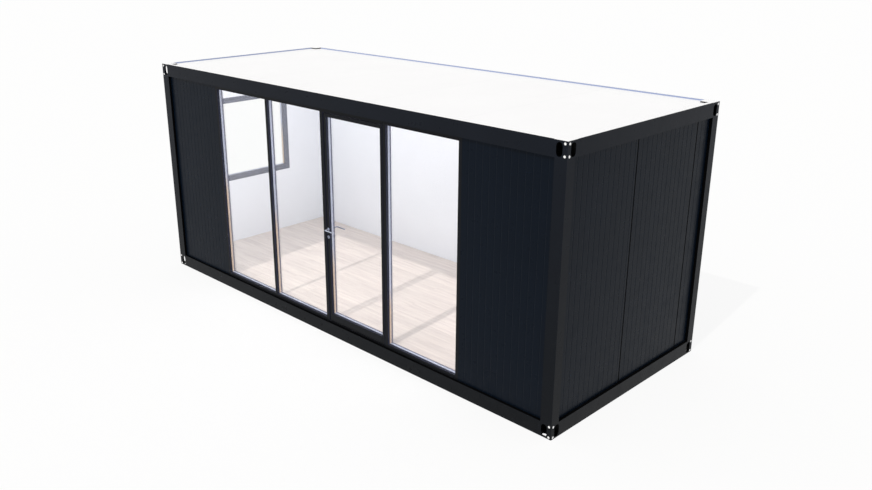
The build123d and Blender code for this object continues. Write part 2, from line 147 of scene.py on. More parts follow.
# Painted shade: the profiles' white room side, in a shaded bluish grey
profile_inside_painted_shade = (0.11, 0.115, 0.18)
lining_white = (0.855, 0.87, 0.91)
window_grey = (0.105, 0.115, 0.165)
rubbed_tread = (0.10, 0.10, 0.11)
zinc_bright = (0.55, 0.565, 0.58)
zinc_dull = (0.42, 0.43, 0.44)
oak_light = (0.765, 0.685, 0.625)
oak_dark = (0.60, 0.52, 0.485)
oak_pore = (0.50, 0.42, 0.385)
# Painted reflections: the bars' pale grey tinted by a reflection of the sky, and the warm reflection of the
# floor
spacer_grey_and_sky_reflection = (0.68, 0.72, 0.86)
painted_floor_reflection = (0.87, 0.71, 0.59)
lever_steel = (0.50, 0.54, 0.64)
rose_grey = (0.36, 0.39, 0.50)
hinge_grey = (0.60, 0.60, 0.61)
nickel_grey = (0.12, 0.125, 0.16)
bolt_zinc = (0.93, 0.93, 0.93)
rubber_black = (0.002, 0.002, 0.0022)
glass_tint = (0.996, 1.0, 0.998)

# How strong the dust is, and how high above the ground it reaches
dust_amount = 0.012
steel_dust_reach = 0.45
panel_dust_reach = 0.6

# The painted reflection of the floor, a warm tone low on the spacer bars: its height at x = 0, how that falls
# along X, and half its blend
floor_reflection_height = 0.90
floor_reflection_slope = -0.22
floor_reflection_blend = 0.12

# How fine metal and oak are grained along X, Y and Z
drawn_along_x = (40.0, 900.0, 900.0)
drawn_along_y = (900.0, 60.0, 900.0)
drawn_along_z = (900.0, 900.0, 30.0)
even_grain = (300.0, 300.0, 300.0)
oak_grain = (1.1, 16.0, 16.0)
oak_pores = (14.0, 420.0, 420.0)

# Where a finish, a painted shade or a painted light changes, in metres from an outer face; rim_face and
# upstand_face are how near counts as on it
casting_skin = 0.003
casting_inner_side = 0.1295
groove_starts = 0.0018
profile_edge = 0.0015
tread_from_face = 0.004
roof_rim = 0.04
rim_face = 0.0005
upstand_face = 0.0006

# Lines drawn in the finishes, in metres, with the first joint of each wall and the pitch of its panels; the
# joint lines are painted shadow
lining_line_pitch = 0.05
roof_sheet_width = 1.2
roof_seam_width = 0.012
roof_seam_blur = 0.001
joint_half_width = 0.006
panel_pitch = 1.015
right_joint_y = -0.139
back_joint_x = -0.159

# Relief of the finishes: the depth of each coat, and how far lines stand out against its grain
paint_relief = 0.00006
panel_relief = 0.00008
rubber_relief = 0.00005
roof_relief = 0.0001
board_relief = 0.00003
lining_line_relief = 6.0
roof_seam_relief = 5.0

# Places taken from the CAD model
roof_sheet_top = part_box("roof_tray")[1].z
profile_face_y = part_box("door_posts")[0].y
wall_outside_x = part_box("right_wall")[1].x
wall_outside_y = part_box("back_wall")[1].y
wall_middle_x = (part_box("right_wall")[0].x + wall_outside_x) / 2
wall_middle_y = (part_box("back_wall")[0].y + wall_outside_y) / 2
frame_middle_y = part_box("fixed_glass")[1].y
glass_low_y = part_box("fixed_glass")[0].y
unit_thickness = frame_middle_y - glass_low_y
window_glass_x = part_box("window_glass")[0].x


def link(tree, value, socket):
    """Join another node's output to an input, or set the input to a number, a vector or a colour."""
    if isinstance(value, bpy.types.NodeSocket):
        tree.links.new(value, socket)
    elif socket.type == "RGBA":
        socket.default_value = (*value, 1)
    else:
        socket.default_value = value


def node(tree, kind, inputs=None, **settings):
    """A shader node with its settings and its inputs, each a value or another node's output."""
    made = tree.nodes.new(kind)
    for name, value in settings.items():
        setattr(made, name, value)
    for name, value in (inputs or {}).items():
        link(tree, value, made.inputs[name])
    return made


def math_node(tree, operation, first, second=0.0, third=0.0, clamp=False):
    """The output of a Math node."""
    made = node(tree, "ShaderNodeMath", {0: first, 1: second, 2: third}, operation=operation)
    made.use_clamp = clamp
    return made.outputs[0]


def mixed(tree, share, first, second):
    """A colour mixed from two others."""
    return node(tree, "ShaderNodeMix", {0: share, 6: first, 7: second}, data_type="RGBA").outputs[2]


def noise(tree, place, scale, detail=2.0, roughness=0.5):
    """The value of a noise texture at a place."""
    inputs = {"Vector": place, "Scale": scale, "Detail": detail, "Roughness": roughness}
    return node(tree, "ShaderNodeTexNoise", inputs).outputs[0]


def spread(tree, value, low, high, to_low=0.0, to_high=1.0):
    """A value moved from one range to another and held there."""
    inputs = {"Value": value, "From Min": low, "From Max": high, "To Min": to_low, "To Max": to_high}
    return node(tree, "ShaderNodeMapRange", inputs, clamp=True).outputs[0]


def split(tree, place):
    """The X, Y and Z of a place."""
    return node(tree, "ShaderNodeSeparateXYZ", {0: place}).outputs


def times(tree, first, second):
    """Two colours or places multiplied."""
    return node(tree, "ShaderNodeVectorMath", {0: first, 1: second}, operation="MULTIPLY").outputs[0]


def scaled(tree, colour, factor):
    """A colour made lighter or darker by a factor."""
    return node(tree, "ShaderNodeVectorMath", {0: colour, "Scale": factor}, operation="SCALE").outputs[0]


def depth_within(tree, part, outer_x, outer_y):
    """How far a place lies inside the nearest of the four upright outer faces."""
    to_end = math_node(tree, "SUBTRACT", outer_x, math_node(tree, "ABSOLUTE", part["X"]))
    to_side = math_node(tree, "SUBTRACT", outer_y, math_node(tree, "ABSOLUTE", part["Y"]))
    return math_node(tree, "MINIMUM", to_end, to_side)


def seen_ray(tree):
    """One for what the camera sees, directly or in metal and glass."""
    ray = node(tree, "ShaderNodeLightPath").outputs
    mirrored = math_node(tree, "MAXIMUM", ray["Is Glossy Ray"], ray["Is Transmission Ray"])
    return math_node(tree, "MAXIMUM", ray["Is Camera Ray"], mirrored)


def new_group(name, inputs, outputs):
    """An empty shader node group with its named sockets, and its input and output nodes."""
    tree = bpy.data.node_groups.new(name, "ShaderNodeTree")
    for label, kind, value in inputs:
        socket = tree.interface.new_socket(label, in_out="INPUT", socket_type=kind)
        if kind != "NodeSocketVector":
            socket.default_value = value
    for label, kind in outputs:
        tree.interface.new_socket(label, in_out="OUTPUT", socket_type=kind)
    return tree, tree.nodes.new("NodeGroupInput").outputs, tree.nodes.new("NodeGroupOutput").inputs


def use_group(tree, group, inputs):
    """A group placed in a material with its own values."""
    return node(tree, "ShaderNodeGroup", inputs, node_tree=group).outputs


def edge_wear_and_highlight_group():
    """A mask of the outer edges, broken up by noise: paint wear and a painted edge highlight."""
    tree, given, result = new_group(
        "edge wear and highlight",
        [("Position", "NodeSocketVector", None), ("Radius", "NodeSocketFloat", 0.002),
         ("Amount", "NodeSocketFloat", 0.5)],
        [("Mask", "NodeSocketFloat")])
    rounded = node(tree, "ShaderNodeBevel", {"Radius": given["Radius"]}, samples=6)
    flat = node(tree, "ShaderNodeNewGeometry")
    product = node(tree, "ShaderNodeVectorMath",
                   {0: rounded.outputs[0], 1: flat.outputs["Normal"]}, operation="DOT_PRODUCT")
    turned = spread(tree, product.outputs["Value"], 0.995, 0.85)
    patches = spread(tree, noise(tree, given["Position"], scale=35.0, detail=5.0, roughness=0.65), 0.4, 0.65)
    worn_and_highlit = math_node(tree, "MULTIPLY", turned, patches)
    link(tree, math_node(tree, "MULTIPLY", worn_and_highlit, given["Amount"], clamp=True), result["Mask"])
    return tree


def paint_coat_group():
    """Slight cloudiness, smudges and orange peel of a sprayed coat."""
    tree, given, result = new_group(
        "paint coat",
        [("Position", "NodeSocketVector", None), ("Colour", "NodeSocketColor", (0.5, 0.5, 0.5, 1)),
         ("Cloud", "NodeSocketFloat", 0.1), ("Roughness", "NodeSocketFloat", 0.4)],
        [("Colour", "NodeSocketColor"), ("Roughness", "NodeSocketFloat"), ("Height", "NodeSocketFloat")])
    slow = noise(tree, given["Position"], scale=1.7, detail=4.0, roughness=0.55)
    cloud = spread(tree, slow, 0.3, 0.7, -1.0, 1.0)
    factor = math_node(tree, "MULTIPLY_ADD", cloud, given["Cloud"], 1.0)
    link(tree, scaled(tree, given["Colour"], factor), result["Colour"])
    uneven = noise(tree, given["Position"], scale=9.0, detail=5.0, roughness=0.6)
    smudge = spread(tree, uneven, 0.35, 0.7, -0.05, 0.07)
    link(tree, math_node(tree, "ADD", given["Roughness"], smudge, clamp=True), result["Roughness"])
    link(tree, noise(tree, given["Position"], scale=420.0, detail=2.0, roughness=0.4), result["Height"])
    return tree


def foot_dust_group():
    """A mask of dust that thins out with height above the ground."""
    tree, given, result = new_group(
        "foot dust",
        [("Position", "NodeSocketVector", None), ("Reach", "NodeSocketFloat", 0.5),
         ("Amount", "NodeSocketFloat", 0.1)],
        [("Mask", "NodeSocketFloat")])
    height = split(tree, given["Position"])["Z"]
    near = math_node(tree, "SUBTRACT", 1.0, math_node(tree, "DIVIDE", height, given["Reach"]), clamp=True)
    specks = spread(tree, noise(tree, given["Position"], scale=14.0, detail=6.0, roughness=0.7), 0.35, 0.75)
    dust = math_node(tree, "MULTIPLY", math_node(tree, "MULTIPLY", near, specks), given["Amount"])
    link(tree, dust, result["Mask"])
    return tree


def room_side_group():
    """A mask of what lies on the room's side of the walls' middle."""
    tree, given, result = new_group(
        "room side",
        [("Position", "NodeSocketVector", None), ("Half X", "NodeSocketFloat", 2.9),
         ("Low Y", "NodeSocketFloat", -1.1), ("High Y", "NodeSocketFloat", 1.1)],
        [("Mask", "NodeSocketFloat")])
    part = split(tree, given["Position"])
    across = math_node(tree, "LESS_THAN", math_node(tree, "ABSOLUTE", part["X"]), given["Half X"])
    behind = math_node(tree, "GREATER_THAN", part["Y"], given["Low Y"])
    before = math_node(tree, "LESS_THAN", part["Y"], given["High Y"])
    inside = math_node(tree, "MULTIPLY", across, math_node(tree, "MULTIPLY", behind, before))
    link(tree, inside, result["Mask"])
    return tree


def brushed_group():
    """Fine drawn lines along one direction, for bare metal."""
    tree, given, result = new_group(
        "brushed metal",
        [("Position", "NodeSocketVector", None), ("Stretch", "NodeSocketVector", None),
         ("Roughness", "NodeSocketFloat", 0.3)],
        [("Tone", "NodeSocketFloat"), ("Roughness", "NodeSocketFloat")])
    drawn = times(tree, given["Position"], given["Stretch"])
    lines = noise(tree, drawn, scale=1.0, detail=3.0, roughness=0.6)
    link(tree, spread(tree, lines, 0.3, 0.7, 0.9, 1.06), result["Tone"])
    offset = spread(tree, lines, 0.3, 0.7, -0.06, 0.1)
    link(tree, math_node(tree, "ADD", given["Roughness"], offset, clamp=True), result["Roughness"])
    return tree


# Effects that several finishes share
edge_wear_and_highlight = edge_wear_and_highlight_group()
paint_coat = paint_coat_group()
foot_dust = foot_dust_group()
room_side = room_side_group()
brushed = brushed_group()


def new_material(name, metallic=0.0, **shader_values):
    """A material with its Principled shader, and the object's own coordinates."""
    made = bpy.data.materials.new(name)
    made.use_nodes = True
    tree = made.node_tree
    tree.nodes.clear()
    shader = node(tree, "ShaderNodeBsdfPrincipled", {"Metallic": metallic, **shader_values})
    node(tree, "ShaderNodeOutputMaterial", {"Surface": shader.outputs[0]})
    place = node(tree, "ShaderNodeTexCoord").outputs["Object"]
    return made, tree, shader, place


def lighter(colour, factor, lift=0.0):
    """A colour made lighter, as it is on a worn edge with a painted highlight."""
    return tuple(min(1.0, value * factor + lift) for value in colour)


def bump(tree, shader, height, distance):
    """Relief from a height value."""
    made = node(tree, "ShaderNodeBump", {"Height": height, "Distance": distance})
    link(tree, made.outputs[0], shader.inputs["Normal"])


def painted_steel(name, colour, roughness, gloss, casting=False):
    """Dark sprayed paint on steel, worn and given a painted highlight at its edges, dusty, and darkened by
    painted shade towards the ground.
    """
    made, tree, shader, place = new_material(name, **{"Specular IOR Level": gloss})
    coat = use_group(tree, paint_coat, {
        "Position": place, "Colour": colour, "Cloud": 0.07, "Roughness": roughness})
    worn_and_highlit = use_group(tree, edge_wear_and_highlight, {"Position": place, "Radius": 0.0025, "Amount": 0.35})["Mask"]
    dust = use_group(tree, foot_dust, {
        "Position": place, "Reach": steel_dust_reach, "Amount": dust_amount})["Mask"]
    part = split(tree, place)
    # Painted shade: the paint darkens towards the ground, where it lies in shade
    shade_towards_ground = mixed(tree, spread(tree, part["Z"], 0.0, cad_high[2]), painted_ground_shade, white)
    # The edges are lighter: partly paint wear, partly a painted highlight
    result = mixed(tree, worn_and_highlit, times(tree, coat["Colour"], shade_towards_ground), lighter(colour, 4, lift=0.02))
    result = mixed(tree, dust, result, dust_colour)
    if casting:
        result = casting_tones(tree, part, result)
    link(tree, result, shader.inputs["Base Color"])
    link(tree, coat["Roughness"], shader.inputs["Roughness"])
    bump(tree, shader, coat["Height"], paint_relief)
    return made


def casting_tones(tree, part, paint):
    """A casting's paint, with painted shade that is black in its hollow and bluish on its sides over the
    roof, and white on its top.
    """
    depth = depth_within(tree, part, cad_high[0], cad_high[1])
    # Painted shade: black in the hollow behind the casting's skin
    result = mixed(tree, math_node(tree, "GREATER_THAN", depth, casting_skin), paint, painted_hollow_shade)
    inner_side = math_node(tree, "GREATER_THAN", depth, casting_inner_side)
    over_roof = math_node(tree, "GREATER_THAN", part["Z"], roof_sheet_top)
    # Painted shade: the casting's inner sides over the roof take the upstands' bluish shade
    result = mixed(tree, math_node(tree, "MULTIPLY", inner_side, over_roof), result, painted_upstand_shade)
    top = math_node(tree, "GREATER_THAN", part["Z"], cad_high[2] - casting_skin)
    return mixed(tree, top, result, roof_white)


def two_sided_paint(name, outside, inside, roughness, gloss,
                    low_y=-wall_middle_y, panels=False, returns=None):
    """One coat outside and another on the room's side.

    panels adds painted shade in the wall panels' grooves and joints, and the lining's lines; returns is a
    lighter colour, painted light, for the sides of profiles.
    """
    made, tree, shader, place = new_material(name, **{"Specular IOR Level": gloss})
    within = use_group(tree, room_side, {
        "Position": place, "Half X": wall_middle_x, "Low Y": low_y, "High Y": wall_middle_y})["Mask"]
    coat = use_group(tree, paint_coat, {
        "Position": place, "Colour": outside, "Cloud": 0.06, "Roughness": roughness})
    lining = use_group(tree, paint_coat, {
        "Position": place, "Colour": inside, "Cloud": 0.012, "Roughness": 0.5})
    worn_and_highlit = use_group(tree, edge_wear_and_highlight, {"Position": place, "Radius": 0.0015, "Amount": 0.18})["Mask"]
    dust = use_group(tree, foot_dust, {
        "Position": place, "Reach": panel_dust_reach, "Amount": dust_amount})["Mask"]
    # The edges are lighter: partly paint wear, partly a painted highlight
    weathered_and_painted_light = mixed(tree, worn_and_highlit, coat["Colour"], lighter(outside, 3, lift=0.015))
    weathered_and_painted_light = mixed(tree, dust, weathered_and_painted_light, dust_colour)
    matt_level, height = coat["Roughness"], coat["Height"]
    part = split(tree, place)
    if returns:
        # Painted light: the profiles' sides between the outer face and the glass are lighter
        beside = math_node(tree, "GREATER_THAN", part["Y"], profile_face_y + profile_edge)
        weathered_and_painted_light = mixed(tree, beside, weathered_and_painted_light, returns)
    if panels:
        # Painted shade: black and fully matt in the grooves behind the outer skin, and painted shadow lines
        # along the right and back walls' joints
        dark = behind_the_skin(tree, part)
        weathered_and_painted_light = mixed(tree, dark, weathered_and_painted_light, painted_hollow_shade)
        matt_level = math_node(tree, "MAXIMUM", coat["Roughness"], dark)
        lines = lining_lines(tree, part, within)
        height = math_node(tree, "MULTIPLY_ADD", lines, lining_line_relief, height)
    link(tree, mixed(tree, within, weathered_and_painted_light, lining["Colour"]), shader.inputs["Base Color"])
    link(tree, matt_level, shader.inputs["Roughness"])
    bump(tree, shader, height, panel_relief)
    return made


def behind_the_skin(tree, part):
    """A mask of painted shade: what lies behind the panels' outer skin, and painted shadow lines along the
    joints in the right and back walls.
    """
    depth = depth_within(tree, part, wall_outside_x, wall_outside_y)
    dark = math_node(tree, "GREATER_THAN", depth, groove_starts)
    right_wall = ("Y", right_joint_y, "X", wall_middle_x)
    back_wall = ("X", back_joint_x, "Y", wall_middle_y)
    for along, first, across, middle in (right_wall, back_wall):
        run = math_node(tree, "SUBTRACT", part[along], first)
        off = math_node(tree, "ABSOLUTE", math_node(tree, "WRAP", run, panel_pitch / 2, -panel_pitch / 2))
        in_joint = math_node(tree, "LESS_THAN", off, joint_half_width)
        on_outside = math_node(tree, "GREATER_THAN", part[across], middle)
        dark = math_node(tree, "MAXIMUM", dark, math_node(tree, "MULTIPLY", on_outside, in_joint))
    return dark


def lining_lines(tree, part, within):
    """Fine upright lines in the lining, on the room's side alone."""
    along = math_node(tree, "ADD", part["X"], part["Y"])
    wave = math_node(tree, "SINE", math_node(tree, "MULTIPLY", along, math.tau / lining_line_pitch))
    return math_node(tree, "MULTIPLY", spread(tree, wave, 0.9, 1.0), within)


def plain_rubber(name, colour):
    """Black seal rubber, matt with a faint bloom."""
    made, tree, shader, place = new_material(name, **{"Specular IOR Level": 0.02})
    coat = use_group(tree, paint_coat, {
        "Position": place, "Colour": colour, "Cloud": 0.2, "Roughness": 0.7})
    link(tree, coat["Colour"], shader.inputs["Base Color"])
    link(tree, coat["Roughness"], shader.inputs["Roughness"])
    bump(tree, shader, coat["Height"], rubber_relief)
    return made


def bare_metal(name, colour, roughness, stretch, metallic=1.0):
    """Brushed or drawn metal with fine lines."""
    made, tree, shader, place = new_material(name, metallic=metallic)
    lines = use_group(tree, brushed, {"Position": place, "Stretch": stretch, "Roughness": roughness})
    worn_and_highlit = use_group(tree, edge_wear_and_highlight, {"Position": place, "Radius": 0.001, "Amount": 0.3})["Mask"]
    toned = scaled(tree, colour, lines["Tone"])
    # The edges are lighter: partly wear, partly a painted highlight
    link(tree, mixed(tree, worn_and_highlit, toned, lighter(colour, 1.2)), shader.inputs["Base Color"])
    link(tree, lines["Roughness"], shader.inputs["Roughness"])
    return made


def spacer_finish(name):
    """Smooth pale metal of spacer bars and beads: grey with a painted bluish reflection of the sky, and a
    painted warm reflection of the floor low down on the uprights.
    """
    made, tree, shader, place = new_material(name, metallic=0.5)
    part = split(tree, place)
    # Painted reflection: a warm tone of the floor low on the uprights, over a grey partly tinted by a painted
    # reflection of the sky
    turn = math_node(tree, "MULTIPLY_ADD", part["X"], floor_reflection_slope, floor_reflection_height)
    above = math_node(tree, "SUBTRACT", part["Z"], turn)
    upright = node(tree, "ShaderNodeAttribute", attribute_name="upright").outputs["Fac"]
    warm = math_node(tree, "MULTIPLY", spread(tree, above, -floor_reflection_blend, floor_reflection_blend, 1.0, 0.0), upright)
    cloud = use_group(tree, paint_coat, {
        "Position": place, "Colour": spacer_grey_and_sky_reflection, "Cloud": 0.04, "Roughness": 0.4})
    link(tree, mixed(tree, warm, cloud["Colour"], painted_floor_reflection), shader.inputs["Base Color"])
    link(tree, cloud["Roughness"], shader.inputs["Roughness"])
    return made


def threshold_finish(name):
    """Dark anodised face, with a tread rubbed lighter."""
    made, tree, shader, place = new_material(name, metallic=0.3, **{"Specular IOR Level": 0.1})
    tread = math_node(tree, "GREATER_THAN", split(tree, place)["Y"], profile_face_y + tread_from_face)
    patches = spread(tree, noise(tree, place, scale=9.0, detail=5.0), 0.35, 0.75, 0.1, 0.5)
    rubbed = math_node(tree, "MULTIPLY", tread, patches)
    link(tree, mixed(tree, rubbed, profile_paint, rubbed_tread), shader.inputs["Base Color"])
    link(tree, spread(tree, rubbed, 0.0, 0.5, 0.36, 0.5), shader.inputs["Roughness"])
    return made


def galvanised_sheet(name):
    """Zinc coated sheet with its crystal pattern."""
    made, tree, shader, place = new_material(name, metallic=0.85)
    crystals = node(tree, "ShaderNodeTexVoronoi", {"Vector": place, "Scale": 55.0}, feature="F1")
    shade = node(tree, "ShaderNodeSeparateColor", {0: crystals.outputs["Color"]}).outputs[0]
    toned = scaled(tree, zinc_bright, spread(tree, shade, 0.0, 1.0, 0.85, 1.1))
    dull = spread(tree, noise(tree, place, scale=3.0, detail=5.0), 0.35, 0.7)
    link(tree, mixed(tree, dull, toned, zinc_dull), shader.inputs["Base Color"])
    link(tree, spread(tree, shade, 0.0, 1.0, 0.38, 0.55), shader.inputs["Roughness"])
    return made


def roof_sheet_material(name):
    """White coated sheet with faint cross seams, upstands in a painted bluish shade and dark outermost faces.
    """
    made, tree, shader, place = new_material(name, **{"Specular IOR Level": 0.3})
    coat = use_group(tree, paint_coat, {
        "Position": place, "Colour": roof_white, "Cloud": 0.01, "Roughness": 0.5})
    part = split(tree, place)
    step = math_node(tree, "WRAP", part["X"], roof_sheet_width, 0.0)
    near = math_node(tree, "ABSOLUTE", math_node(tree, "SUBTRACT", step, roof_sheet_width / 2))
    seam_edge = roof_seam_width / 2
    seam = spread(tree, near, seam_edge, seam_edge + roof_seam_blur, 1.0, 0.0)
    faint_seam = math_node(tree, "MULTIPLY", seam, 0.08)
    sheet = mixed(tree, faint_seam, coat["Colour"], roof_seam_grey)
    depth = depth_within(tree, part, cad_high[0], cad_high[1])
    below_rim = math_node(tree, "LESS_THAN", part["Z"], cad_high[2] - rim_face)
    off_upstand = math_node(tree, "ABSOLUTE", math_node(tree, "SUBTRACT", depth, roof_rim))
    upstand = math_node(tree, "LESS_THAN", off_upstand, upstand_face)
    outermost = math_node(tree, "LESS_THAN", depth, rim_face)
    # Painted shade: the upstands' inner faces are bluish, as the white sheet looks in shade
    sheet = mixed(tree, math_node(tree, "MULTIPLY", below_rim, upstand), sheet, painted_upstand_shade)
    sheet = mixed(tree, math_node(tree, "MULTIPLY", below_rim, outermost), sheet, dark_paint)
    link(tree, sheet, shader.inputs["Base Color"])
    link(tree, coat["Roughness"], shader.inputs["Roughness"])
    height = math_node(tree, "MULTIPLY_ADD", seam, roof_seam_relief, coat["Height"])
    bump(tree, shader, height, roof_relief)
    return made


def board_material(name):
    """Light oak boards: grain along X, a tone of its own for each board."""
    made, tree, shader, place = new_material(name, **{"Specular IOR Level": 0.35})
    tone = node(tree, "ShaderNodeAttribute", attribute_name="board").outputs["Fac"]
    shift = node(tree, "ShaderNodeCombineXYZ", {
        0: math_node(tree, "MULTIPLY", tone, 7.0), 1: math_node(tree, "MULTIPLY", tone, 3.0)}).outputs[0]
    shifted = node(tree, "ShaderNodeVectorMath", {0: place, 1: shift}, operation="ADD").outputs[0]
    grain = noise(tree, times(tree, shifted, oak_grain), scale=1.6, detail=6.0, roughness=0.62)
    fine = noise(tree, times(tree, shifted, oak_pores), scale=1.0, detail=3.0, roughness=0.6)
    oak = mixed(tree, spread(tree, grain, 0.32, 0.68), oak_light, oak_dark)
    oak = mixed(tree, spread(tree, fine, 0.55, 0.75, 0.0, 0.35), oak, oak_pore)
    own_tone = spread(tree, tone, 0.0, 1.0, 0.965, 1.03)
    link(tree, scaled(tree, oak, own_tone), shader.inputs["Base Color"])
    link(tree, spread(tree, fine, 0.3, 0.7, 0.42, 0.5), shader.inputs["Roughness"])
    bump(tree, shader, fine, board_relief)
    return made


def clear_glass(name, tint):
    """Clear coated glass with the faintest haze."""
    made, tree, shader, place = new_material(name, **{
        "Transmission Weight": 1.0, "IOR": 1.28, "Specular IOR Level": 0.5})
    haze = spread(tree, noise(tree, place, scale=2.2, detail=4.0), 0.4, 0.75, 0.0, 0.004)
    link(tree, haze, shader.inputs["Roughness"])
    faint = spread(tree, noise(tree, place, scale=0.8, detail=2.0), 0.3, 0.7)
    link(tree, mixed(tree, faint, tint, white), shader.inputs["Base Color"])
    return made


# The finishes, and which slot of the record has which
casting_paint = painted_steel("painted casting", dark_paint, roughness=0.34, gloss=0.06, casting=True)
steel_paint = painted_steel("painted folded steel", dark_paint, roughness=0.32, gloss=0.06)
panel_coat = two_sided_paint(
    "panel coat", panel_paint, lining_white, roughness=0.32, gloss=0.06, panels=True)
# The frame profiles' room side is a painted shade grey, and their sides a painted light colour
profile_coat = two_sided_paint(
    "frame profile coat", profile_paint, profile_inside_painted_shade, roughness=0.34, gloss=0.06,
    low_y=frame_middle_y, returns=painted_return_light)
window_plastic = two_sided_paint(
    "window profile plastic", window_grey, window_grey, roughness=0.45, gloss=0.3)
ceiling_coat = two_sided_paint(
    "ceiling lining", lining_white, lining_white, roughness=0.5, gloss=0.3)
zinc_sheet = galvanised_sheet("galvanised sheet")
roof_coat = roof_sheet_material("roof sheet coat")
oak_board = board_material("oak board")
clear_pane = clear_glass("clear pane", glass_tint)
seal_rubber = plain_rubber("seal rubber", rubber_black)
spacer_metal = spacer_finish("spacer bar aluminium")
satin_steel = bare_metal("satin steel", lever_steel, roughness=0.15, stretch=drawn_along_x)
rose_steel = bare_metal("rose steel", rose_grey, roughness=0.3, stretch=drawn_along_y, metallic=0.6)
hinge_steel = bare_metal("hinge steel", hinge_grey, roughness=0.33, stretch=drawn_along_z)
nickel_core = bare_metal("nickel lock core", nickel_grey, roughness=0.3, stretch=drawn_along_y)
threshold_bar = threshold_finish("dark anodised threshold")
bolt_coat = bare_metal("zinc bolt", bolt_zinc, roughness=0.45, stretch=even_grain, metallic=0.1)

material_of_slot = {
    "casting_steel": casting_paint,
    "frame_steel": steel_paint,
    "wall_panel": panel_coat,
    "white_lining": ceiling_coat,
    "roof_sheet": roof_coat,
    "galvanised_sheet": zinc_sheet,
    "floor_board": zinc_sheet,
    "frame_profile": profile_coat,
    "door_profile": profile_coat,
    "window_profile": window_plastic,
    "threshold_metal": threshold_bar,
    "glass": clear_pane,
    "hinge_metal": hinge_steel,
    "handle_metal": satin_steel,
    "lock_metal": nickel_core,
}


def finish_cad_nodes():
    """Give every CAD node the material of its slot in the record, and the roses one of their own."""
    for part in frame["record"]["subparts"]:
        shown = frame["nodes"][part["node"]]
        shown.data.materials.clear()
        slot_material = material_of_slot[part["material_slot"]]
        shown.data.materials.append(rose_steel if part["node"] == "door_escutcheons" else slot_material)


def solids_of(node_name):
    """The low and high corners of each separate solid in a CAD node, from low x to high x."""
    mesh = bmesh.new()
    mesh.from_mesh(frame["nodes"][node_name].data)
    bmesh.ops.remove_doubles(mesh, verts=mesh.verts[:], dist=same_point)
    left = set(mesh.verts)
    boxes = []
    while left:
        reached = [left.pop()]
        for vert in reached:
            for edge in vert.link_edges:
                other = edge.other_vert(vert)
                if other in left:
                    left.remove(other)
                    reached.append(other)
        points = [vert.co for vert in reached]
        low = Vector([min(point[axis] for point in points) for axis in range(3)])
        high = Vector([max(point[axis] for point in points) for axis in range(3)])
        boxes.append((low, high))
    mesh.free()
    return sorted(boxes, key=lambda corners: (round(corners[0].x, 4), round(corners[0].z, 4)))


def finished(name, mesh, material, body):
    """Turn a bmesh into a piece that rides on a body and has the given finish."""
    bmesh.ops.recalc_face_normals(mesh, faces=mesh.faces[:])
    data = bpy.data.meshes.new(name)
    mesh.to_mesh(data)
    mesh.free()
    data.materials.append(material)
    piece = bpy.data.objects.new(name, data)
    bpy.context.scene.collection.objects.link(piece)
    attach(piece, body)
    return piece


def add_block(mesh, low, high):
    """A block between two corners, put into a mesh."""
    size = Vector(high) - Vector(low)
    middle = (Vector(high) + Vector(low)) / 2
    place = Matrix.Translation(middle) @ Matrix.Diagonal((*size, 1))
    bmesh.ops.create_cube(mesh, size=1, matrix=place)


def add_ring(mesh, profile, u_span, v_span, place):
    """A mitred ring round a rectangle: profile is (inset, depth), place makes a point of (u, v, depth)."""
    upright = mesh.faces.layers.float.get("upright") or mesh.faces.layers.float.new("upright")
    corners = []
    for u_end, v_end in ((0, 0), (1, 0), (1, 1), (0, 1)):
        corner = []
        for inset, depth in profile:
            u = u_span[u_end] + (-inset if u_end else inset)
            v = v_span[v_end] + (-inset if v_end else inset)
            corner.append(mesh.verts.new(place(u, v, depth)))
        corners.append(corner)
    count = len(profile)
    for index, corner in enumerate(corners):
        following = corners[(index + 1) % 4]
        for point in range(count):
            after = (point + 1) % count
            side = mesh.faces.new((corner[point], corner[after], following[after], following[point]))
            side[upright] = index % 2


def on_front(u, v, depth):
    """A point of the glazed front: along X, up Z, depth from the glass units' outer face inwards."""
    return Vector((u, glass_low_y + depth, v))


def on_left_end(u, v, depth):
    """A point of the left end window: along Y, up Z, depth from the glass unit's outer face inwards."""
    return Vector((window_glass_x + depth, u, v))


def glass_unit(name, node_name, openings, place, body):
    """Two panes, the spacer bar between them, the gaskets outside and the beads inside, for each opening."""
    panes, spacers, gaskets, beads = (bmesh.new() for _ in range(4))
    inner = unit_thickness - pane_thickness
    bar_face = spacer_inset + spacer_width
    lip_edge = glass_bite + gasket_width
    bead_back = unit_thickness + bead_width
    spacer = [(0.0, pane_thickness), (0.0, inner), (bar_face, inner), (bar_face, pane_thickness)]
    lip = [(glass_bite, 0.0), (glass_bite, -gasket_proud),
           (glass_bite + gasket_width / 2, -gasket_crown), (lip_edge, 0.0)]
    bead = [(glass_bite, unit_thickness), (glass_bite, bead_back),
            (lip_edge, bead_back), (lip_edge + gasket_width, unit_thickness)]
    for u_span, v_span in openings:
        for start in (0.0, inner):
            corners = [place(u_span[end], v_span[end], start + end * pane_thickness) for end in (0, 1)]
            low = [min(a, b) for a, b in zip(*corners)]
            high = [max(a, b) for a, b in zip(*corners)]
            add_block(panes, low, high)
        add_ring(spacers, spacer, u_span, v_span, place)
        add_ring(gaskets, lip, u_span, v_span, place)
        add_ring(beads, bead, u_span, v_span, place)
    pane = finished(f"{name}_panes", panes, clear_pane, body)
    # The panes let the lamps and the sun through without darkening the room
    pane.visible_shadow = False
    pane.visible_diffuse = False
    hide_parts(node_name)
    finished(f"{name}_spacer_bars", spacers, spacer_metal, body)
    finished(f"{name}_gaskets", gaskets, seal_rubber, body)
    finished(f"{name}_glazing_beads", beads, spacer_metal, body)


